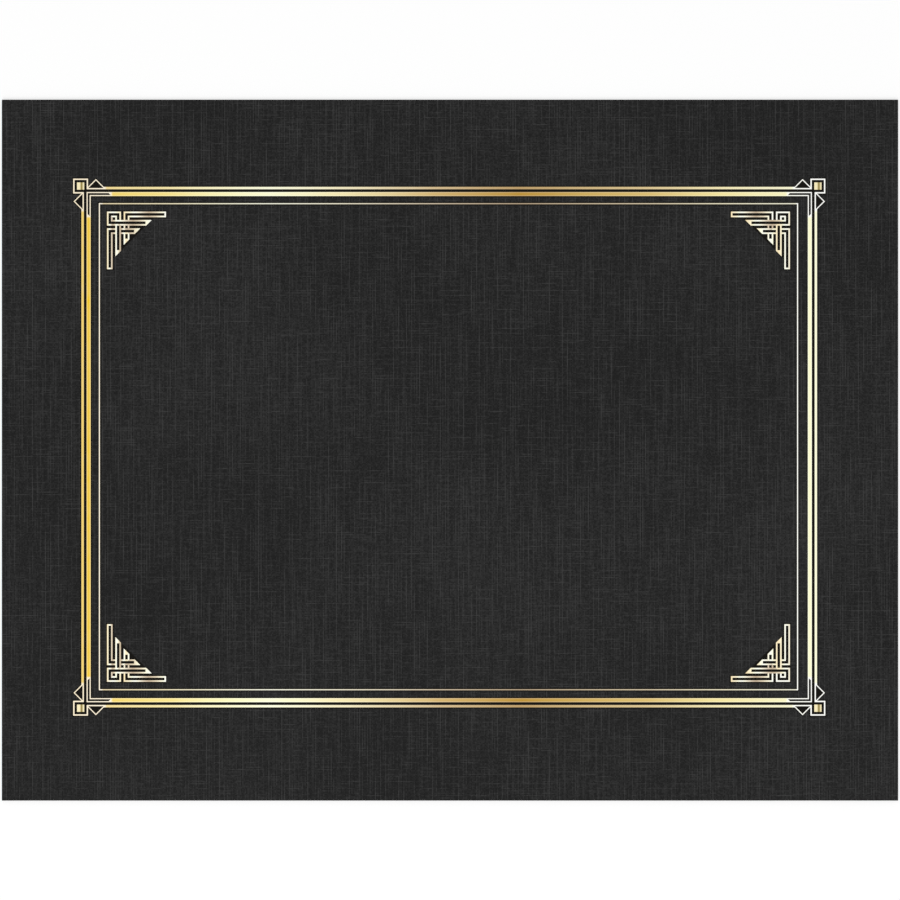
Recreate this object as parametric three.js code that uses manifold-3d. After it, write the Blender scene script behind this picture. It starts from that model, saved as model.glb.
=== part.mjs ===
// Diploma cover: one sheet of linen-finish card, folded once along its long edge, with a
// gold foil border stamped on the front. Millimetres. +X runs along the long side, +Y points
// to the fold, +Z is up. The back panel lies on z = 0 and the cover is shut.
import * as THREE from "three";
import { mergeVertices } from "three/addons/utils/BufferGeometryUtils.js";
import Module from "manifold-3d";

const wasm = await Module();
wasm.setup();

// The folded card
const coverLength = 317.5;
const coverDepth = 248.4;
const cardThickness = 0.4;
const innerGap = 0.4; // room between the panels for the document
const panelStop = 0.1; // the flat panels end this far short of the bend's centre line
const bendSteps = 16;

// The slots that hold the document's corners
const documentLength = 279.4;
const documentDepth = 215.9;
const slotCorner = 27; // how much of each edge of the document a slot takes in
const slotLength = 42;
const slotWidth = 1;
const slotSteps = 6;

// The foil border: each rule is a rectangle about its own centre
const foilThickness = 0.08;
const outerCentre = [-0.27, 1.02];
const innerCentre = [-0.54, 1.17];
const outerRule = { centre: outerCentre, length: 260.55, depth: 184.36, width: 0.84 };
const innerRule = { centre: outerCentre, length: 256.86, depth: 180.69, width: 1.42 };
const thinRule = { centre: innerCentre, length: 247.67, depth: 172.54, width: 0.38 };
const ornament = { centre: innerCentre, length: 241.91, depth: 166.54 };

// The little squares on the outer rule's corners, and the hollow triangles beside them
const squareSize = 5.25;
const squareOverhang = 2.92; // how far a square stands out past the outer rule
const squareLine = 0.46;
const squareCore = 2.57;
const triangleHeight = 2.78; // from the rule's edge to the point; its sides lean at 45 degrees
const triangleMiddleX = 5.12; // from the outer rule's corner
const triangleMiddleY = 5.15;
const triangleLine = 0.34;
const triangleSill = 0.42; // how far its hollow goes into the rule

// The angle slots in the inner rule's corners
const angleSlotInset = 0.36;
const angleSlotWidth = 0.7;
const angleSlotReach = 8.5;

// The interlaced key in each corner: ribbons with a bare groove between two gold lines
const ribbonWidth = 1.99;
const grooveWidth = 0.93;
const ribbonPitch = 2.96;
const topRibbonEnd = 20.9;
const sideRibbonEnd = 20.4;
const middleRibbonEnd = 15.85;
const innerRibbonEnd = 11.8;
const pointedGrooveStop = 2.2; // from a ribbon's point to the end of its groove

const frontBottom = cardThickness + innerGap;
const frontTop = frontBottom + cardThickness;
const bendInner = innerGap / 2;
const bendOuter = bendInner + cardThickness;
const bendY = coverDepth / 2 - bendOuter;
const bendZ = cardThickness + bendInner;
const panelEnd = bendY - panelStop;

const corners = {
  top_left: [-1, 1],
  top_right: [1, 1],
  bottom_left: [-1, -1],
  bottom_right: [1, -1],
};

const linenCard = new THREE.MeshStandardMaterial({ color: 0x2b2b2b, roughness: 0.7, metalness: 0 });
const goldFoil = new THREE.MeshStandardMaterial({ color: 0xe3cf8a, roughness: 0.25, metalness: 1 });

// Closed solids from outlines

function solidOf(geometry) {
  geometry.deleteAttribute("normal");
  geometry.deleteAttribute("uv");
  const merged = mergeVertices(geometry);
  return new wasm.Manifold(
    new wasm.Mesh({
      numProp: 3,
      vertProperties: new Float32Array(merged.attributes.position.array),
      triVerts: new Uint32Array(merged.index.array),
    }),
  );
}

function geometryOf(solid) {
  const mesh = solid.getMesh();
  const geometry = new THREE.BufferGeometry();
  geometry.setAttribute("position", new THREE.BufferAttribute(mesh.vertProperties, 3));
  geometry.setIndex(new THREE.BufferAttribute(mesh.triVerts, 1));
  geometry.computeVertexNormals();
  return geometry;
}

function extruded(shape, thickness, curveSegments = 1) {
  return new THREE.ExtrudeGeometry(shape, { depth: thickness, bevelEnabled: false, curveSegments });
}

function slab(shape, bottom, thickness, curveSegments) {
  return solidOf(extruded(shape, thickness, curveSegments).translate(0, 0, bottom));
}

function rectangle(x0, y0, x1, y1) {
  return [
    [x0, y0],
    [x1, y0],
    [x1, y1],
    [x0, y1],
  ];
}

function outline(points) {
  return new THREE.Shape(points.map(([x, y]) => new THREE.Vector2(x, y)));
}

function foilPlate(points) {
  return slab(outline(points), frontTop, foilThickness);
}

function joined(solids) {
  return solids.reduce((whole, solid) => whole.add(solid));
}

function mesh(name, geometry, material) {
  const piece = new THREE.Mesh(geometry, material);
  piece.name = name;
  return piece;
}

const straight = ([along, across]) => [along, across];
const swapped = ([along, across]) => [across, along];

// Points counted inwards from a rule's corner, along the long side and then the short one
function fromCorner(rule, [sideX, sideY]) {
  const [x, y] = rule.centre;
  return ([along, across]) => [
    x + sideX * (rule.length / 2 - along),
    y + sideY * (rule.depth / 2 - across),
  ];
}

// The card

function panelShape() {
  const half = coverLength / 2;
  return outline(rectangle(-half, -coverDepth / 2, half, panelEnd));
}

function slotShape([sideX, sideY]) {
  const x = sideX * (documentLength / 2 - slotCorner / 2);
  const y = sideY * (documentDepth / 2 - slotCorner / 2);
  const reach = (slotLength - slotWidth) / 2;
  const end = slotWidth / 2;
  const lean = sideX * sideY * -Math.PI / 4;
  const [dx, dy] = [reach * Math.cos(lean), reach * Math.sin(lean)];
  const shape = new THREE.Shape();
  shape.absarc(x + dx, y + dy, end, lean - Math.PI / 2, lean + Math.PI / 2);
  shape.absarc(x - dx, y - dy, end, lean + Math.PI / 2, lean + 1.5 * Math.PI);
  return shape;
}

function frontCover() {
  return slab(panelShape(), frontBottom, cardThickness);
}

function backCover() {
  const panel = slab(panelShape(), 0, cardThickness);
  const slots = Object.values(corners).map((corner) => {
    return slab(slotShape(corner), -cardThickness, 3 * cardThickness, slotSteps);
  });
  return panel.subtract(joined(slots));
}

// The bend is drawn in Y and Z and swept along X
function coverFold() {
  const profile = new THREE.Shape();
  profile.moveTo(panelEnd, 0);
  profile.lineTo(bendY, 0);
  profile.absarc(bendY, bendZ, bendOuter, -Math.PI / 2, Math.PI / 2);
  profile.lineTo(panelEnd, frontTop);
  profile.lineTo(panelEnd, frontBottom);
  profile.lineTo(bendY, frontBottom);
  profile.absarc(bendY, bendZ, bendInner, Math.PI / 2, -Math.PI / 2, true);
  profile.lineTo(panelEnd, cardThickness);
  const alongX = new THREE.Matrix4().set(0, 0, 1, 0, 1, 0, 0, 0, 0, 1, 0, 0, 0, 0, 0, 1);
  const strip = extruded(profile, coverLength, bendSteps).applyMatrix4(alongX);
  return solidOf(strip.translate(-coverLength / 2, 0, 0));
}

// The foil

function within({ centre: [x, y], length, depth }, inset) {
  const [halfX, halfY] = [length / 2 - inset, depth / 2 - inset];
  return rectangle(x - halfX, y - halfY, x + halfX, y + halfY);
}

function ruleFrame(rule) {
  return foilPlate(within(rule, 0)).subtract(foilPlate(within(rule, rule.width)));
}

// A triangle standing on the outer rule and its hollow; "turn" swaps the rule's two directions
function triangle(place, middle, turn) {
  const wedge = (tip, base) => {
    const corner = [[middle, tip], [middle + base - tip, base], [middle - base + tip, base]];
    return foilPlate(corner.map(turn).map(place));
  };
  const hollowTip = triangleLine * Math.SQRT2 - triangleHeight;
  return { cover: wedge(-triangleHeight, 0), hollow: wedge(hollowTip, triangleSill) };
}

function squareAt(place, inset) {
  const [low, high] = [inset - squareOverhang, squareSize - squareOverhang - inset];
  return foilPlate(rectangle(low, low, high, high).map(place));
}

function outerFoil() {
  let foil = ruleFrame(outerRule);
  for (const corner of Object.values(corners)) {
    const place = fromCorner(outerRule, corner);
    const alongX = triangle(place, triangleMiddleX, straight);
    const alongY = triangle(place, triangleMiddleY, swapped);
    const square = squareAt(place, 0);
    foil = joined([foil, alongX.cover, alongY.cover]);
    foil = foil.subtract(joined([alongX.hollow, alongY.hollow, square]));
    foil = foil.add(square.subtract(squareAt(place, squareLine)));
  }
  return foil.subtract(foilPlate(within(outerRule, outerRule.width)));
}

function innerFoil() {
  const low = angleSlotInset;
  const high = low + angleSlotWidth;
  const end = angleSlotReach;
  const angle = [[low, low], [end - angleSlotWidth, low], [end, high], [high, high], [high, end]];
  angle.push([low, end - angleSlotWidth]);
  const slots = Object.values(corners).map((corner) => {
    return foilPlate(angle.map(fromCorner(innerRule, corner)));
  });
  return ruleFrame(innerRule).subtract(joined(slots));
}

// A straight stretch of ribbon between two points of its centre line, and its groove
function stretch(place, [x0, y0], [x1, y1]) {
  const strip = (width) => {
    const half = width / 2;
    const [left, right] = [Math.min(x0, x1) - half, Math.max(x0, x1) + half];
    const [low, high] = [Math.min(y0, y1) - half, Math.max(y0, y1) + half];
    return foilPlate(rectangle(left, low, right, high).map(place));
  };
  return { cover: strip(ribbonWidth), groove: strip(grooveWidth) };
}

// The pointed end of a ribbon: its outer line runs on past the inner one to a slanted cut.
// "turn" swaps the two directions, and "start" is where the last stretch's centre line ends.
function point(place, line, start, tip, turn) {
  const [outer, inner] = [line - ribbonWidth / 2, line + ribbonWidth / 2];
  const groove = rectangle(
    start,
    line - grooveWidth / 2,
    tip - pointedGrooveStop,
    line + grooveWidth / 2,
  );
  const cover = [[start, outer], [tip, outer], [tip - ribbonWidth, inner], [start, inner]];
  const at = (points) => foilPlate(points.map(turn).map(place));
  return { cover: at(cover), groove: at(groove) };
}

function ribbon(parts) {
  return {
    cover: joined(parts.map((part) => part.cover)),
    groove: joined(parts.map((part) => part.groove)),
  };
}

function cornerKey(corner) {
  const place = fromCorner(ornament, corner);
  const first = ribbonWidth / 2;
  const second = first + ribbonPitch;
  const third = second + ribbonPitch;

  const hookRight = ribbon([
    stretch(place, [third, first], [topRibbonEnd - first, first]),
    stretch(place, [third, first], [third, third]),
    point(place, third, third, innerRibbonEnd, swapped),
  ]);
  const hookDown = ribbon([
    stretch(place, [first, third], [first, sideRibbonEnd - first]),
    stretch(place, [first, third], [third, third]),
    point(place, third, third, innerRibbonEnd, straight),
  ]);
  const loop = ribbon([
    stretch(place, [first, first], [second, first]),
    stretch(place, [first, first], [first, second]),
    stretch(place, [second, first], [second, third]),
    point(place, second, third, middleRibbonEnd, swapped),
  ]);
  const row = point(place, second, first + grooveWidth / 2, middleRibbonEnd, straight);

  // Each ribbon goes over the ones before it
  return [hookDown, loop, row].reduce((gold, { cover, groove }) => {
    return gold.subtract(cover).add(cover.subtract(groove));
  }, hookRight.cover.subtract(hookRight.groove));
}

const front = new THREE.Group();
front.add(mesh("front_cover", geometryOf(frontCover()), linenCard));
front.add(mesh("foil_outer_rule", geometryOf(outerFoil()), goldFoil));
front.add(mesh("foil_inner_rule", geometryOf(innerFoil()), goldFoil));
front.add(mesh("foil_thin_rule", geometryOf(ruleFrame(thinRule)), goldFoil));
for (const [name, corner] of Object.entries(corners)) {
  const core = squareAt(fromCorner(outerRule, corner), (squareSize - squareCore) / 2);
  front.add(mesh(`foil_square_${name}`, geometryOf(core), goldFoil));
  front.add(mesh(`foil_key_${name}`, geometryOf(cornerKey(corner)), goldFoil));
}

const diplomaCover = new THREE.Group();
diplomaCover.add(mesh("back_cover", geometryOf(backCover()), linenCard));
diplomaCover.add(mesh("cover_fold", geometryOf(coverFold()), linenCard));
diplomaCover.add(front);

export default diplomaCover;
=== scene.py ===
# Diploma cover, shut and lying flat with its front up: one folded sheet of black linen-finish
# card, and the gold foil border stamped on it. Metres.
import math

import bmesh
import bpy
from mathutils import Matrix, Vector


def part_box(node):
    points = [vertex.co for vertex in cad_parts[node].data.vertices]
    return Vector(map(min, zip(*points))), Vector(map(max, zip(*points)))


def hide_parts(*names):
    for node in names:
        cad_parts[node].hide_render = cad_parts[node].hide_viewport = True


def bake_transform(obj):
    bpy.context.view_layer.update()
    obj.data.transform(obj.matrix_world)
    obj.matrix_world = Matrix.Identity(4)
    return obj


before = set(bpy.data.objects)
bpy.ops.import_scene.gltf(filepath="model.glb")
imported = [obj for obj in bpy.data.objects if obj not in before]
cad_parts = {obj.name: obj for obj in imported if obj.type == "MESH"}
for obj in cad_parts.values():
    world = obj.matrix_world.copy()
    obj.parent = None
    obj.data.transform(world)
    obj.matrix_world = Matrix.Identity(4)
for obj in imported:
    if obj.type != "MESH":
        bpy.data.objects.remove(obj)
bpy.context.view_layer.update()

MM = 0.001


def centre(low, high):
    """The middle of a box, seen from above."""
    return [(low[axis] + high[axis]) / 2 for axis in (0, 1)]


def half_size(low, high):
    return [(high[axis] - low[axis]) / 2 for axis in (0, 1)]


# What the frame gives
front_low, front_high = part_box("front_cover")
COVER_HALF = front_high[0]
FREE_EDGE = front_low[1]
BACK_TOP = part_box("back_cover")[1][2]
FRONT_BOTTOM = front_low[2]
FRONT_TOP = front_high[2]
BEND_Z = FRONT_TOP / 2
BEND_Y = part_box("cover_fold")[1][1] - BEND_Z
BEND_INNER = BEND_Z - BACK_TOP

# Card
BEND_STEPS = 16
EDGE_ROUND = 0.05 * MM
EDGE_STEPS = 2
ROUNDED_ANGLE = math.radians(50)  # edges sharper than this are rounded
SMOOTH_ANGLE = math.radians(35)
FLAT_FACE = 0.9999  # how near upright the normal of a panel's flat face is

# The document's corner slots
DOCUMENT_LENGTH = 279.4 * MM
DOCUMENT_DEPTH = 215.9 * MM
SLOT_CORNER = 27 * MM
SLOT_LENGTH = 42 * MM
SLOT_WIDTH = 1 * MM
SLOT_STEPS = 6
SLOT_ROUND = 0.499  # radius of a slot's ends in slot widths, a hair under half
SLOT_CUT = (-0.4, 1.4)  # from where to where the slots are cut, in card thicknesses

# Foil
outer_low, outer_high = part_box("foil_outer_rule")
inner_low, inner_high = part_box("foil_inner_rule")
thin_low, thin_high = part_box("foil_thin_rule")
key_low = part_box("foil_key_bottom_left")[0]
key_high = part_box("foil_key_top_right")[1]
SQUARE_SIZE = 5.25 * MM
SQUARE_OVERHANG = 2.92 * MM  # how far a corner square stands out past the outer rule
TRIANGLE_HEIGHT = 2.78 * MM
TRIANGLE_MIDDLES = (5.12 * MM, 5.15 * MM)  # from the outer rule's corner
OUTER_WIDTH = 0.84 * MM
INNER_WIDTH = 1.42 * MM
THIN_WIDTH = 0.38 * MM
RIBBON_WIDTH = 1.99 * MM
RIBBON_PITCH = 2.96 * MM
KEY_REACH = (20.9 * MM, 20.4 * MM)
KEY_ARM_START = 6 * MM  # where a key's level arm comes out of its corner square
KEY_SLANT = 18.4 * MM  # along plus across, on the slanted line that the ribbons' points lie on

FOIL_CENTRE = centre(outer_low, outer_high)
FOIL_HALF = half_size(outer_low, outer_high)
KEY_CENTRE = centre(key_low, key_high)
KEY_HALF = half_size(key_low, key_high)

# Linen: its threads, how strong its parts are against each other, and its tones as seen, in
# steps of 255
# The threads' lit stretches are painted highlights of the emboss in the card's colour, and relief in
# its bump
THREAD_JUMP = 7.31  # how far apart neighbouring threads are in the noise
THREAD_RIDGE = (0.08, 0.38)  # lit as far as the first from a thread's middle, dark past the second
UPRIGHT_LIT = (0.42, 0.8)  # the noise at which a thread starts to be lit, and is fully lit
LEVEL_LIT = (0.5, 0.8)
WEAKER_THREAD = 0.35  # strength of every other thread
THREAD_BASE = 0.12
THREAD_MEAN = 0.28
THREAD_HIGHLIGHT_CONTRAST = 2.4
CROSSING_CONTRAST = 0.85
CLOUD_CONTRAST = 1.1
CLOUD_DETAIL = 2
SHADE_RANGE = (-0.61, 1.53)  # shades of the darkest and the lightest tone
CARD_DARKEST = (24, 24, 24)
CARD_LIGHTEST = (64, 64, 64)
# The pressed tone is painted shade: the card near-black between and close round the foil's lines
CARD_PRESSED_SHADE = (9, 6, 2)
PRESSED_SHADE_EDGE = (0.2 * MM, 0.6 * MM)  # pressed and painted with shade as far as the first from the foil, not past the second
CARD_ROUGHNESS = 0.75
CARD_SPECULAR = 0.12
EMBOSS_STRENGTH = 0.5
EMBOSS_DEPTH = 0.08 * MM
REST_PLACE = "rest_place"

# The foil's colour along the cover, in millimetres from its middle: mostly painted reflection of the
# studio, with some of the foil's own unevenness
FOIL_TONES_AND_REFLECTIONS = [
    (-130, (238, 198, 20)),
    (-128.6, (237, 200, 84)),
    (-117, (239, 213, 120)),
    (-100, (242, 222, 140)),
    (-86, (247, 238, 178)),
    (-64, (249, 249, 212)),
    (-41, (242, 231, 181)),
    (-4, (208, 177, 115)),
    (25, (186, 146, 66)),
    (48, (204, 172, 98)),
    (71, (217, 189, 118)),
    (96, (240, 226, 160)),
    (117, (244, 239, 192)),
    (128, (251, 250, 210)),
]
FOIL_ROUGHNESS = 0.3
TONE_DRIFT = 5 * MM  # how far the tones wander along the cover, and the size of their waves

# Richness is how much of its colour the foil shows: narrow lines and rims are painted paler and
# brighter, a painted highlight
LINE_HIGHLIGHT = 1.12
PALE_HIGHLIGHT_RICHNESS = 0.35
OUTER_CORE = (0.45, 0.55)  # where the rich middle of a rule fades out, in widths from its centre line
OUTER_RICHNESS = 0.8
INNER_CORE = (0.2, 0.4)
INNER_RICHNESS = 1.03
INNER_RIM_RICHNESS = 0.8
THIN_RICHNESS = (0.55, 0.3)  # of the thin rule's level sides and of its upright ones
THIN_HIGHLIGHT = (0.9, LINE_HIGHLIGHT)
KEY_RICHNESS = 0.5
LEFT_KEY_RUN = (0, 1 / (3.45 * MM))  # upright ribbons' place in the run of tones: start, change inwards
RIGHT_KEY_RUN = (0.4, -1 / (10.5 * MM))
CORNER_REACH = (8.6 * MM, 7.9 * MM)  # from a rule's corner to where its painted pale highlight strips end
SQUARE_TONE = (246, 233, 188)
BAND_TONE = (138, 120, 52)
BAND_OFFSET = 0.35 * MM
BAND_FADE = (0.05 * MM, 0.7 * MM)

# The photograph shows the cover almost filling a square frame
PHOTO_WIDTH = 900  # pixels
PHOTO_COVER_WIDTH = 896.3
CAMERA_LENS = 85
CAMERA_SENSOR = 36

# Light
FLOOR_SIZE = 20
FLOOR_GAP = 0.05 * MM
FLOOR_ALBEDO = 0.4
FLOOR_GLOW = 0.632  # brings the lit floor up to white
WORLD_FILL = 0.72
LAMP_PLACE = (-0.25, -1.3, 1.4)
LAMP_SIZE = 0.8
LAMP_POWER = 11


# Camera

def add_camera():
    """Straight above, as far off as the cover's width in the photograph needs."""
    view_width = 2 * COVER_HALF * PHOTO_WIDTH / PHOTO_COVER_WIDTH
    data = bpy.data.cameras.new("camera")
    data.lens = CAMERA_LENS
    data.sensor_width = CAMERA_SENSOR
    camera = bpy.data.objects.new("camera", data)
    camera.location = (0, 0, FRONT_TOP + view_width * CAMERA_LENS / CAMERA_SENSOR)
    bpy.context.scene.collection.objects.link(camera)
    bpy.context.scene.camera = camera


# Colours

def linear(value):
    """One part of a colour as it is seen, by the sRGB formula."""
    value /= 255
    return value / 12.92 if value <= 0.04045 else ((value + 0.055) / 1.055) ** 2.4


def colour(red, green, blue):
    """A colour as it is seen, in steps of 255, for a shader."""
    return (linear(red), linear(green), linear(blue), 1)


# Shader building

class Tree:
    """Adds nodes to a node tree and links them."""

    def __init__(self, tree):
        self.tree = tree
        self.nodes = tree.nodes

    def add(self, kind, inputs=None, **settings):
        node = self.nodes.new(kind)
        for name, value in settings.items():
            setattr(node, name, value)
        for name, value in (inputs or {}).items():
            self.feed(node.inputs[name], value)
        return node

    def feed(self, socket, value):
        if isinstance(value, bpy.types.NodeSocket):
            self.tree.links.new(value, socket)
        else:
            socket.default_value = value

    def math(self, operation, *values):
        inputs = dict(enumerate(values))
        return self.add("ShaderNodeMath", inputs, operation=operation).outputs[0]

    def mix(self, factor, low, high):
        node = self.add("ShaderNodeMix", data_type="RGBA", clamp_factor=True, clamp_result=True)
        for name, value in {"Factor": factor, "A": low, "B": high}.items():
            socket = next(s for s in node.inputs if s.name == name and s.enabled)
            self.feed(socket, value)
        return next(s for s in node.outputs if s.enabled)

    def level(self, value, low, high, to_low=0, to_high=1):
        ends = {"From Min": low, "From Max": high, "To Min": to_low, "To Max": to_high}
        node = self.add("ShaderNodeMapRange", {"Value": value, **ends}, clamp=True)
        return node.outputs["Result"]

    def noise(self, vector, scale=1, detail=1):
        inputs = {"Vector": vector, "Scale": scale, "Detail": detail}
        return self.add("ShaderNodeTexNoise", inputs).outputs[0]


def new_group(name, inputs, outputs):
    """A shader node group with named sockets: kinds are Float, Vector and Color."""
    tree = bpy.data.node_groups.new(name, "ShaderNodeTree")
    for socket, (kind, value) in inputs.items():
        made = tree.interface.new_socket(socket, in_out="INPUT", socket_type=f"NodeSocket{kind}")
        made.default_value = value
    for socket, kind in outputs.items():
        tree.interface.new_socket(socket, in_out="OUTPUT", socket_type=f"NodeSocket{kind}")
    inside = Tree(tree)
    return inside, inside.add("NodeGroupInput"), inside.add("NodeGroupOutput")


def along_axes(tree, place):
    parts = tree.add("ShaderNodeSeparateXYZ", {"Vector": place}).outputs
    return parts["X"], parts["Y"], parts["Z"]


def inwards_of_keys(tree, x, y):
    """How far a place is inside the keys' outer upright and level sides."""
    sides = [tree.math("ABSOLUTE", tree.math("SUBTRACT", *pair)) for pair in zip((x, y), KEY_CENTRE)]
    return [tree.math("SUBTRACT", *pair) for pair in zip(KEY_HALF, sides)]


def linen_group():
    """Linen embossing: straight upright and level threads of uneven strength, and their crossings; the
    threads' lit stretches become painted highlights in the card's colour.
    """
    sizes = {
        "Place": ("Vector", (0, 0, 0)),
        "Upright Pitch": ("Float", 0.46 * MM),
        "Upright Length": ("Float", 18 * MM),
        "Level Pitch": ("Float", 0.42 * MM),
        "Level Length": ("Float", 7 * MM),
        "Level Strength": ("Float", 0.8),
        "Cloud Size": ("Float", 90 * MM),
    }
    outputs = {"Threads": "Float", "Crossings": "Float", "Cloud": "Float"}
    inside, given, made = new_group("linen", sizes, outputs)
    place = given.outputs["Place"]
    x, y, z = along_axes(inside, place)

    def counted(across, way):
        count = inside.math("DIVIDE", across, given.outputs[f"{way} Pitch"])
        return count, inside.math("FLOOR", count)

    def threads(across, along, way, lit_range):
        """Each thread is lit along stretches of it, and every other one is weaker: painted highlights
        where they feed the card's colour.
        """
        count, index = counted(across, way)
        side = inside.math("SUBTRACT", inside.math("FRACT", count), 0.5)
        ridge = inside.level(inside.math("ABSOLUTE", side), *THREAD_RIDGE, 1, 0)
        spot = {
            "X": inside.math("MULTIPLY", index, THREAD_JUMP),
            "Y": inside.math("DIVIDE", along, given.outputs[f"{way} Length"]),
            "Z": inside.math("DIVIDE", z, given.outputs["Upright Pitch"]),
        }
        strength = inside.noise(inside.add("ShaderNodeCombineXYZ", spot).outputs[0])
        lit = inside.level(strength, *lit_range)
        weaker = inside.level(inside.math("PINGPONG", index, 1), 0, 1, 1, WEAKER_THREAD)
        lit = inside.math("ADD", inside.math("MULTIPLY", lit, weaker), THREAD_BASE)
        return inside.math("MULTIPLY", ridge, lit)

    upright = threads(x, y, "Upright", UPRIGHT_LIT)
    level = threads(y, x, "Level", LEVEL_LIT)
    level = inside.math("MULTIPLY", level, given.outputs["Level Strength"])
    inside.feed(made.inputs["Threads"], inside.math("ADD", upright, level))
    crossing = {"X": counted(x, "Upright")[1], "Y": counted(y, "Level")[1]}
    crossing = inside.add("ShaderNodeCombineXYZ", crossing).outputs[0]
    shades = inside.add("ShaderNodeTexWhiteNoise", {"Vector": crossing}).outputs["Value"]
    inside.feed(made.inputs["Crossings"], inside.math("SUBTRACT", shades, 0.5))
    cloud = inside.noise(place, inside.math("DIVIDE", 1, given.outputs["Cloud Size"]), CLOUD_DETAIL)
    inside.feed(made.inputs["Cloud"], inside.math("SUBTRACT", cloud, 0.5))
    return inside.tree


def pressed_shade_group():
    """1 on the card that the stamp presses smooth and that is painted with shade: between the foil's
    lines and close round them.
    """
    inside, given, made = new_group("pressed_shade", {"Place": ("Vector", (0, 0, 0))}, {"Pressed Shade": "Float"})
    x, y, z = along_axes(inside, given.outputs["Place"])

    def folded(low, high):
        """Distances from the centre lines of what lies between two corners, and its half sizes."""
        pairs = zip((x, y), centre(low, high))
        sides = [inside.math("SUBTRACT", value, middle) for value, middle in pairs]
        return [inside.math("ABSOLUTE", side) for side in sides], half_size(low, high)

    def past(sides, half):
        """How far a place is outside a rectangle, and less than 0 inside it."""
        return inside.math("MAXIMUM", *[inside.math("SUBTRACT", *pair) for pair in zip(sides, half)])

    def ring(sides, half, width):
        """The same for a band that runs round inside a rectangle's edge."""
        inner = past(sides, [size - width for size in half])
        return inside.math("MAXIMUM", past(sides, half), inside.math("MULTIPLY", inner, -1))

    def nearest(*distances):
        least = distances[0]
        for distance in distances[1:]:
            least = inside.math("MINIMUM", least, distance)
        return least

    sides, whole = folded(outer_low, outer_high)
    rule = [size - SQUARE_OVERHANG for size in whole]
    both_rules = rule[0] - half_size(inner_low, inner_high)[0] + INNER_WIDTH
    rules = ring(sides, rule, both_rules)
    from_square = [
        inside.math("ABSOLUTE", inside.math("SUBTRACT", side, size - SQUARE_SIZE / 2))
        for side, size in zip(sides, whole)
    ]
    square = past(from_square, [SQUARE_SIZE / 2] * 2)

    def triangle(along, across):
        middle = inside.math("SUBTRACT", sides[along], rule[along] - TRIANGLE_MIDDLES[along])
        height = inside.math("SUBTRACT", sides[across], rule[across])
        slant = inside.math("ADD", inside.math("ABSOLUTE", middle), height)
        slant = inside.math("SUBTRACT", slant, TRIANGLE_HEIGHT)
        return inside.math("MAXIMUM", slant, inside.math("MULTIPLY", height, -1))

    thin_sides, thin_half = folded(thin_low, thin_high)
    thin = ring(thin_sides, thin_half, THIN_WIDTH)

    key_sides, key_half = folded(key_low, key_high)
    inwards = inwards_of_keys(inside, x, y)
    slant = inside.math("SUBTRACT", inside.math("ADD", *inwards), KEY_SLANT)
    level_arm = past(inwards, (KEY_REACH[0], RIBBON_WIDTH))
    upright_arm = past(inwards, (RIBBON_WIDTH, KEY_REACH[1]))
    key = inside.math("MAXIMUM", past(key_sides, key_half), nearest(slant, level_arm, upright_arm))

    shapes = nearest(rules, square, triangle(0, 1), triangle(1, 0), thin, key)
    mask = inside.level(shapes, *PRESSED_SHADE_EDGE, 1, 0)
    on_front = inside.math("GREATER_THAN", z, (FRONT_BOTTOM + FRONT_TOP) / 2)
    inside.feed(made.inputs["Pressed Shade"], inside.math("MULTIPLY", mask, on_front))
    return inside.tree


def foil_group():
    """The stamped foil's colour along the cover, mostly painted reflection with some of the foil's own
    unevenness, paler and brighter with painted highlight where Core is 0.
    """
    half = FOIL_HALF[0]
    sizes = {
        "Place": ("Vector", (0, 0, 0)),
        "Core": ("Float", 0),
        "Rim Richness": ("Float", PALE_HIGHLIGHT_RICHNESS),
        "Core Richness": ("Float", 1),
        "Rim Highlight": ("Float", LINE_HIGHLIGHT),
        "Drift": ("Float", TONE_DRIFT),
    }
    inside, given, made = new_group("foil", sizes, {"Colour": "Color"})
    place = given.outputs["Place"]

    drift = inside.noise(place, inside.math("DIVIDE", 1, given.outputs["Drift"]))
    drift = inside.math("SUBTRACT", drift, 0.5)
    drift = inside.math("MULTIPLY", drift, given.outputs["Drift"])
    along = inside.math("ADD", along_axes(inside, place)[0], drift)
    ramp = inside.add("ShaderNodeValToRGB", {"Fac": inside.level(along, -half, half)})
    stops = ramp.color_ramp.elements
    stops.remove(stops[-1])
    for index, (millimetres, tone) in enumerate(FOIL_TONES_AND_REFLECTIONS):
        position = (millimetres * MM + half) / (2 * half)
        stop = stops.new(position) if index else stops[0]
        stop.position = position
        stop.color = colour(*tone)

    core = given.outputs["Core"]
    # Rims get painted highlight: paler and brighter than the core
    richness = inside.level(core, 0, 1, given.outputs["Rim Richness"], given.outputs["Core Richness"])
    rim_highlight = inside.level(core, 0, 1, given.outputs["Rim Highlight"], 1)
    look = {"Color": ramp.outputs["Color"], "Saturation": richness, "Value": rim_highlight}
    tone = inside.add("ShaderNodeHueSaturation", look).outputs[0]
    inside.feed(made.inputs["Colour"], tone)
    return inside.tree


def new_material(name):
    material = bpy.data.materials.new(name)
    material.use_nodes = True
    tree = Tree(material.node_tree)
    return material, tree, tree.nodes["Principled BSDF"]


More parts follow.
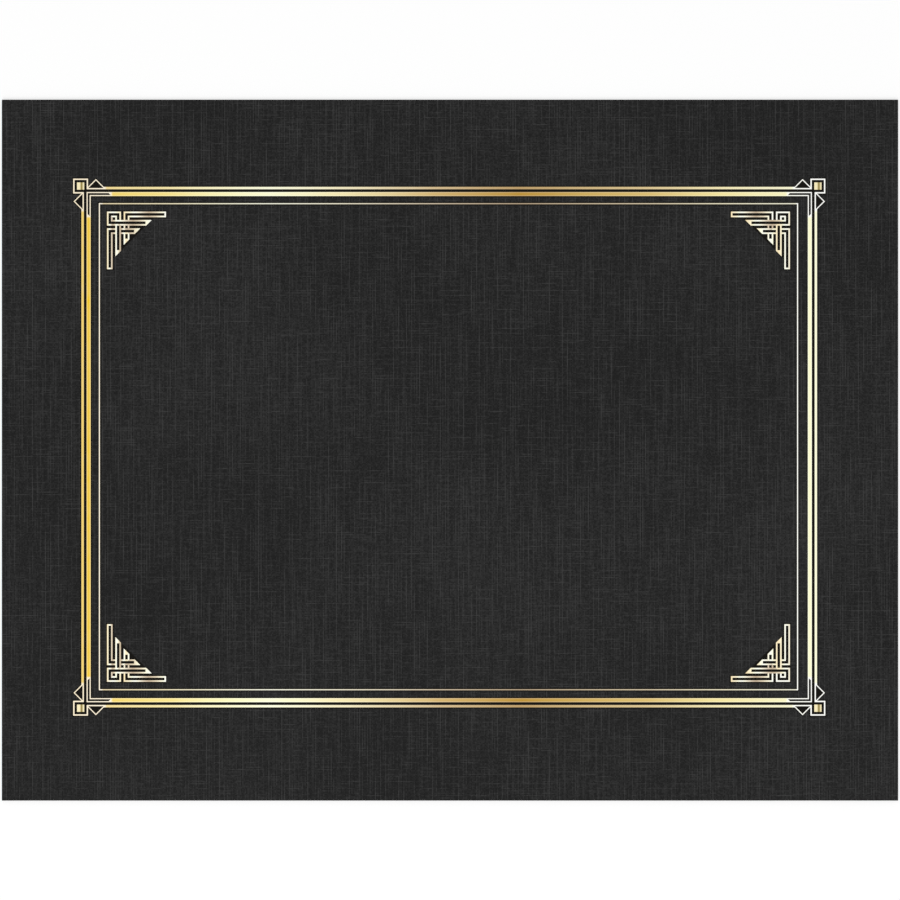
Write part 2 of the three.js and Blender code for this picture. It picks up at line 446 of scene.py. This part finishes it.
def card_material(linen, pressed_shade):
    """Its patterns follow the places kept from the shut cover, so they stay put as it opens."""
    material, tree, shader = new_material("black_linen_card")
    place = tree.add("ShaderNodeAttribute", attribute_name=REST_PLACE).outputs["Vector"]
    emboss = tree.add("ShaderNodeGroup", {"Place": place}, node_tree=linen).outputs
    pressed_shade_mask = tree.add("ShaderNodeGroup", {"Place": place}, node_tree=pressed_shade).outputs["Pressed Shade"]
    # The threads' lit stretches lighten the card's colour: painted highlights; the crossings and the
    # cloud are tone that differs at random
    shade = tree.math("SUBTRACT", emboss["Threads"], THREAD_MEAN)
    shade = tree.math("MULTIPLY", shade, THREAD_HIGHLIGHT_CONTRAST)
    shade = tree.math("ADD", shade, tree.math("MULTIPLY", emboss["Crossings"], CROSSING_CONTRAST))
    shade = tree.math("ADD", shade, tree.math("MULTIPLY", emboss["Cloud"], CLOUD_CONTRAST))
    shade = tree.level(shade, *SHADE_RANGE)
    linen_tone_and_highlights = tree.mix(shade, colour(*CARD_DARKEST), colour(*CARD_LIGHTEST))
    # Near the foil the card's colour darkens to painted shade; below, the same mask flattens the emboss
    tree.feed(shader.inputs["Base Color"], tree.mix(pressed_shade_mask, linen_tone_and_highlights, colour(*CARD_PRESSED_SHADE)))
    shader.inputs["Roughness"].default_value = CARD_ROUGHNESS
    shader.inputs["Specular IOR Level"].default_value = CARD_SPECULAR
    height = tree.math("ADD", emboss["Threads"], emboss["Crossings"])
    height = tree.math("MULTIPLY", height, tree.math("SUBTRACT", 1, pressed_shade_mask))
    bump = {"Height": height, "Strength": EMBOSS_STRENGTH, "Distance": EMBOSS_DEPTH}
    tree.feed(shader.inputs["Normal"], tree.add("ShaderNodeBump", bump).outputs[0])
    return material


def off_centre(tree, place, axis):
    """Distance from the border's centre line along one axis."""
    side = tree.math("SUBTRACT", along_axes(tree, place)[axis], FOIL_CENTRE[axis])
    return tree.math("ABSOLUTE", side)


def rule_masks(tree, place, half, width, core_fade):
    """Masks of a rule that runs round a rectangle: the middle of its width, and its corners."""
    past = [
        tree.math("SUBTRACT", off_centre(tree, place, axis), half[axis] - width / 2)
        for axis in (0, 1)
    ]
    from_middle = tree.math("ABSOLUTE", tree.math("MAXIMUM", *past))
    core = tree.level(from_middle, *[reach * width for reach in core_fade], 1, 0)
    corner = tree.level(tree.math("MINIMUM", *past), -CORNER_REACH[0], -CORNER_REACH[1])
    return tree.math("MULTIPLY", core, tree.math("SUBTRACT", 1, corner)), corner


def new_foil(name):
    material, tree, shader = new_material(name)
    shader.inputs["Metallic"].default_value = 1
    shader.inputs["Roughness"].default_value = FOIL_ROUGHNESS
    return material, tree, shader, tree.add("ShaderNodeTexCoord").outputs["Object"]


def give_tone(tree, shader, foil, inputs):
    tint = tree.add("ShaderNodeGroup", inputs, node_tree=foil)
    tree.feed(shader.inputs["Base Color"], tint.outputs["Colour"])


def wide_rule_material(name, foil, half, width, core_fade, core_richness, rim_richness):
    """A wide rule is richer along the middle of its width, and paler at its corners; its paler rims and
    corners are painted highlight.
    """
    material, tree, shader, place = new_foil(name)
    core, corner = rule_masks(tree, place, half, width, core_fade)
    richness = {
        "Core Richness": core_richness,
        "Rim Richness": tree.level(corner, 0, 1, rim_richness, PALE_HIGHLIGHT_RICHNESS),
    }
    give_tone(tree, shader, foil, {"Place": place, "Core": core, **richness})
    return material


def thin_rule_material(foil):
    """The thin rule's level sides are painted a little darker and richer than its upright ones, which
    carry more painted highlight.
    """
    material, tree, shader, place = new_foil("gold_foil_thin_rule")
    level_half = thin_high[0] - FOIL_CENTRE[0] - 2 * THIN_WIDTH
    upright = tree.math("GREATER_THAN", off_centre(tree, place, 0), level_half)
    look = {
        "Rim Richness": tree.level(upright, 0, 1, *THIN_RICHNESS),
        "Rim Highlight": tree.level(upright, 0, 1, *THIN_HIGHLIGHT),
    }
    give_tone(tree, shader, foil, {"Place": place, **look})
    return material


def key_material(foil):
    """Each of a key's ribbons carries the foil's run of tones, painted reflection and highlight, from 0
    to 1.
    """
    material, tree, shader, place = new_foil("gold_foil_key")
    x, y, z = along_axes(tree, place)
    across, down = inwards_of_keys(tree, x, y)
    right = tree.math("GREATER_THAN", x, KEY_CENTRE[0])

    # Level ribbons end on the key's slant, apart from the first row, whose arm is longer
    row = tree.math("FLOOR", tree.math("DIVIDE", down, RIBBON_PITCH))
    arm = tree.math("LESS_THAN", down, RIBBON_PITCH)
    start = tree.math("MULTIPLY", arm, KEY_ARM_START)
    slanted_end = tree.math("SUBTRACT", KEY_SLANT, tree.math("MULTIPLY", row, RIBBON_PITCH))
    end = tree.math("ADD", slanted_end, tree.math("MULTIPLY", arm, KEY_REACH[0] - KEY_SLANT))
    run = tree.math("DIVIDE", tree.math("SUBTRACT", across, start), tree.math("SUBTRACT", end, start))
    level_run = tree.math("ABSOLUTE", tree.math("SUBTRACT", right, run))

    # An upright ribbon's place in the run of tones depends on how far inwards it stands
    begin, change = [tree.level(right, 0, 1, *ends) for ends in zip(LEFT_KEY_RUN, RIGHT_KEY_RUN)]
    upright_run = tree.math("ADD", begin, tree.math("MULTIPLY", across, change))
    upright_run = tree.math("PINGPONG", upright_run, 1)

    upright = tree.math("GREATER_THAN", down, across)
    run = tree.level(upright, 0, 1, level_run, upright_run)
    along = tree.level(run, 0, 1, -FOIL_HALF[0], FOIL_HALF[0])
    own_place = tree.add("ShaderNodeCombineXYZ", {"X": along, "Y": y, "Z": z}).outputs[0]
    give_tone(tree, shader, foil, {"Place": own_place, "Rim Richness": KEY_RICHNESS})
    return material


def square_material():
    """Pale foil with a darker upright band right of the square's middle."""
    material, tree, shader, place = new_foil("gold_foil_square")
    side = tree.math("SUBTRACT", along_axes(tree, place)[0], FOIL_CENTRE[0])
    middle = tree.math("MULTIPLY", tree.math("SIGN", side), FOIL_HALF[0] - SQUARE_SIZE / 2)
    from_band = tree.math("SUBTRACT", tree.math("SUBTRACT", side, middle), BAND_OFFSET)
    band = tree.level(tree.math("ABSOLUTE", from_band), *BAND_FADE, 1, 0)
    tree.feed(shader.inputs["Base Color"], tree.mix(band, colour(*SQUARE_TONE), colour(*BAND_TONE)))
    return material


# Mesh building

def link(name, mesh):
    obj = bpy.data.objects.new(name, mesh)
    bpy.context.scene.collection.objects.link(obj)
    return obj


def applied(obj):
    """Turns an object's modifiers into its mesh."""
    graph = bpy.context.evaluated_depsgraph_get()
    mesh = bpy.data.meshes.new_from_object(obj.evaluated_get(graph), depsgraph=graph)
    obj.modifiers.clear()
    obj.data = mesh
    return obj


def arc(radius):
    """Points (y, z) round the bend, from under it to over it."""
    for step in range(BEND_STEPS + 1):
        angle = math.pi * (step / BEND_STEPS - 0.5)
        yield BEND_Y + radius * math.cos(angle), BEND_Z + radius * math.sin(angle)


def folded_sheet():
    """The card's section, swept along the cover: two panels and the bend between them."""
    outer = [(FREE_EDGE, 0), *arc(BEND_Z), (FREE_EDGE, FRONT_TOP)]
    inner = [(FREE_EDGE, BACK_TOP), *arc(BEND_INNER), (FREE_EDGE, FRONT_BOTTOM)]
    sheet = bmesh.new()
    ends = []
    for x in (-COVER_HALF, COVER_HALF):
        ends.append([[sheet.verts.new((x, y, z)) for y, z in line] for line in (outer, inner)])
    (outer_a, inner_a), (outer_b, inner_b) = ends
    for step in range(len(outer) - 1):
        here, there = step, step + 1
        sheet.faces.new((outer_a[here], outer_b[here], outer_b[there], outer_a[there]))
        sheet.faces.new((inner_a[here], inner_a[there], inner_b[there], inner_b[here]))
        sheet.faces.new((outer_a[here], outer_a[there], inner_a[there], inner_a[here]))
        sheet.faces.new((outer_b[here], inner_b[here], inner_b[there], outer_b[there]))
    for end in (0, -1):
        sheet.faces.new((outer_a[end], inner_a[end], inner_b[end], outer_b[end]))
    bmesh.ops.recalc_face_normals(sheet, faces=sheet.faces)
    mesh = bpy.data.meshes.new("card")
    sheet.to_mesh(mesh)
    sheet.free()
    return link("card", mesh)


# The slot cutters, by Geometry Nodes

SLOT_SIZES = {
    "Document Length": DOCUMENT_LENGTH,
    "Document Depth": DOCUMENT_DEPTH,
    "Corner": SLOT_CORNER,
    "Slot Length": SLOT_LENGTH,
    "Slot Width": SLOT_WIDTH,
    "Thickness": BACK_TOP,
}


def slot_tree(material):
    """Four slanted prisms with round ends, one across each corner of the document."""
    tree = bpy.data.node_groups.new("corner_slots", "GeometryNodeTree")
    for name in SLOT_SIZES:
        tree.interface.new_socket(name, in_out="INPUT", socket_type="NodeSocketFloat")
    tree.interface.new_socket("Geometry", in_out="OUTPUT", socket_type="NodeSocketGeometry")
    inside = Tree(tree)
    given = inside.add("NodeGroupInput").outputs
    outline = inside.add(
        "GeometryNodeCurvePrimitiveQuadrilateral",
        {"Width": given["Slot Length"], "Height": given["Slot Width"]},
    )
    end_radius = inside.math("MULTIPLY", given["Slot Width"], SLOT_ROUND)
    round_ends = inside.add(
        "GeometryNodeFilletCurve",
        {"Curve": outline.outputs[0], "Radius": end_radius},
        mode="POLY",
    )
    round_ends.inputs["Count"].default_value = SLOT_STEPS
    low, high = [
        inside.add("ShaderNodeCombineXYZ", {"Z": inside.math("MULTIPLY", given["Thickness"], end)})
        for end in SLOT_CUT
    ]
    line = inside.add(
        "GeometryNodeCurvePrimitiveLine", {"Start": low.outputs[0], "End": high.outputs[0]}
    )
    prism = inside.add(
        "GeometryNodeCurveToMesh",
        {"Curve": line.outputs[0], "Profile Curve": round_ends.outputs[0], "Fill Caps": True},
    )
    spread_x = inside.math("SUBTRACT", given["Document Length"], given["Corner"])
    spread_y = inside.math("SUBTRACT", given["Document Depth"], given["Corner"])
    places = inside.add(
        "GeometryNodeCurvePrimitiveQuadrilateral", {"Width": spread_x, "Height": spread_y}
    )
    points = inside.add("GeometryNodeCurveToPoints", {"Curve": places.outputs[0]}, mode="EVALUATED")
    at = inside.add("GeometryNodeInputPosition")
    parts = inside.add("ShaderNodeSeparateXYZ", {"Vector": at.outputs[0]}).outputs
    side = inside.math("SIGN", inside.math("MULTIPLY", parts["X"], parts["Y"]))
    lean = inside.add("ShaderNodeCombineXYZ", {"Z": inside.math("MULTIPLY", side, -math.pi / 4)})
    copies = inside.add(
        "GeometryNodeInstanceOnPoints",
        {"Points": points.outputs[0], "Instance": prism.outputs[0], "Rotation": lean.outputs[0]},
    )
    real = inside.add("GeometryNodeRealizeInstances", {"Geometry": copies.outputs[0]})
    painted = inside.add("GeometryNodeSetMaterial", {"Geometry": real.outputs[0], "Material": material})
    inside.feed(inside.add("NodeGroupOutput").inputs[0], painted.outputs[0])
    return tree


def slot_cutters(material):
    cutters = link("corner_slots", bpy.data.meshes.new("corner_slots"))
    tree = slot_tree(material)
    modifier = cutters.modifiers.new("slots", "NODES")
    modifier.node_group = tree
    for socket in tree.interface.items_tree:
        if socket.in_out == "INPUT":
            modifier[socket.identifier] = SLOT_SIZES[socket.name]
    return applied(cutters)


def keep_rest_places(obj):
    """Stores where each point is on the shut cover, for the card's material."""
    places = obj.data.attributes.new(REST_PLACE, "FLOAT_VECTOR", "POINT")
    for point, vertex in zip(places.data, obj.data.vertices):
        point.vector = vertex.co


def make_card(material):
    """One sheet, with the slots cut in its back panel and its edges rounded."""
    card = folded_sheet()
    cutters = slot_cutters(material)
    cut = card.modifiers.new("slots", "BOOLEAN")
    cut.operation = "DIFFERENCE"
    cut.solver = "EXACT"
    cut.object = cutters
    edges = card.modifiers.new("edges", "BEVEL")
    edges.width = EDGE_ROUND
    edges.segments = EDGE_STEPS
    edges.limit_method = "ANGLE"
    edges.angle_limit = ROUNDED_ANGLE
    applied(card)
    bpy.data.objects.remove(cutters)
    card.data.materials.clear()
    card.data.materials.append(material)
    card.data.set_sharp_from_angle(angle=SMOOTH_ANGLE)
    for face in card.data.polygons:
        face.use_smooth = abs(face.normal.z) < FLAT_FACE
    keep_rest_places(card)
    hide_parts("back_cover", "cover_fold", "front_cover")
    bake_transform(card)


# Foil

def finish_foil(foil):
    """Gives each of the frame's foil pieces the material of its kind."""
    outer = [size - SQUARE_OVERHANG for size in FOIL_HALF], OUTER_WIDTH, OUTER_CORE
    inner = half_size(inner_low, inner_high), INNER_WIDTH, INNER_CORE
    finishes = {
        "foil_outer_rule": wide_rule_material(
            "gold_foil_outer_rule", foil, *outer, OUTER_RICHNESS, PALE_HIGHLIGHT_RICHNESS
        ),
        "foil_inner_rule": wide_rule_material(
            "gold_foil_inner_rule", foil, *inner, INNER_RICHNESS, INNER_RIM_RICHNESS
        ),
        "foil_thin_rule": thin_rule_material(foil),
        "foil_square": square_material(),
        "foil_key": key_material(foil),
    }
    for name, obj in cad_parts.items():
        if not name.startswith("foil"):
            continue
        kind = next(kind for kind in finishes if name.startswith(kind))
        obj.data.materials.clear()
        obj.data.materials.append(finishes[kind])


# Surroundings

def add_floor():
    """White, a hair under the card, and clear from below so that the card's underside shows."""
    bpy.ops.mesh.primitive_plane_add(size=FLOOR_SIZE, location=(0, 0, -FLOOR_GAP))
    floor = bpy.context.object
    floor.name = "floor"
    material, tree, shader = new_material("white_paper_floor")
    shader.inputs["Base Color"].default_value = (FLOOR_ALBEDO, FLOOR_ALBEDO, FLOOR_ALBEDO, 1)
    shader.inputs["Roughness"].default_value = 1
    shader.inputs["Specular IOR Level"].default_value = 0
    shader.inputs["Emission Color"].default_value = (1, 1, 1, 1)
    rays = tree.add("ShaderNodeLightPath").outputs
    seen = tree.math("MAXIMUM", rays["Is Camera Ray"], rays["Is Glossy Ray"])
    tree.feed(shader.inputs["Emission Strength"], tree.math("MULTIPLY", seen, FLOOR_GLOW))
    below = tree.add("ShaderNodeNewGeometry").outputs["Backfacing"]
    clear = tree.add("ShaderNodeBsdfTransparent").outputs[0]
    sides = tree.add("ShaderNodeMixShader", {0: below, 1: shader.outputs[0], 2: clear})
    tree.feed(tree.nodes["Material Output"].inputs["Surface"], sides.outputs[0])
    floor.data.materials.append(material)


def add_world():
    """White as it is seen and mirrored, and a little dimmer as light on the card."""
    world = bpy.data.worlds.new("studio")
    bpy.context.scene.world = world
    world.use_nodes = True
    tree = Tree(world.node_tree)
    background = tree.nodes["Background"]
    background.inputs["Color"].default_value = (1, 1, 1, 1)
    rays = tree.add("ShaderNodeLightPath").outputs
    seen = tree.math("MAXIMUM", rays["Is Camera Ray"], rays["Is Glossy Ray"])
    seen = tree.math("MAXIMUM", seen, rays["Is Transmission Ray"])
    tree.feed(background.inputs["Strength"], tree.level(seen, 0, 1, WORLD_FILL, 1))


def add_lamp(name, place, size, power):
    data = bpy.data.lights.new(name, "AREA")
    data.size = size
    data.energy = power
    lamp = bpy.data.objects.new(name, data)
    lamp.location = place
    aim = -lamp.location
    lamp.rotation_euler = aim.to_track_quat("-Z", "Y").to_euler()
    bpy.context.scene.collection.objects.link(lamp)


bpy.context.scene.view_settings.view_transform = "Standard"
add_camera()
add_world()
add_lamp("window", LAMP_PLACE, LAMP_SIZE, LAMP_POWER)
add_floor()
make_card(card_material(linen_group(), pressed_shade_group()))
finish_foil(foil_group())
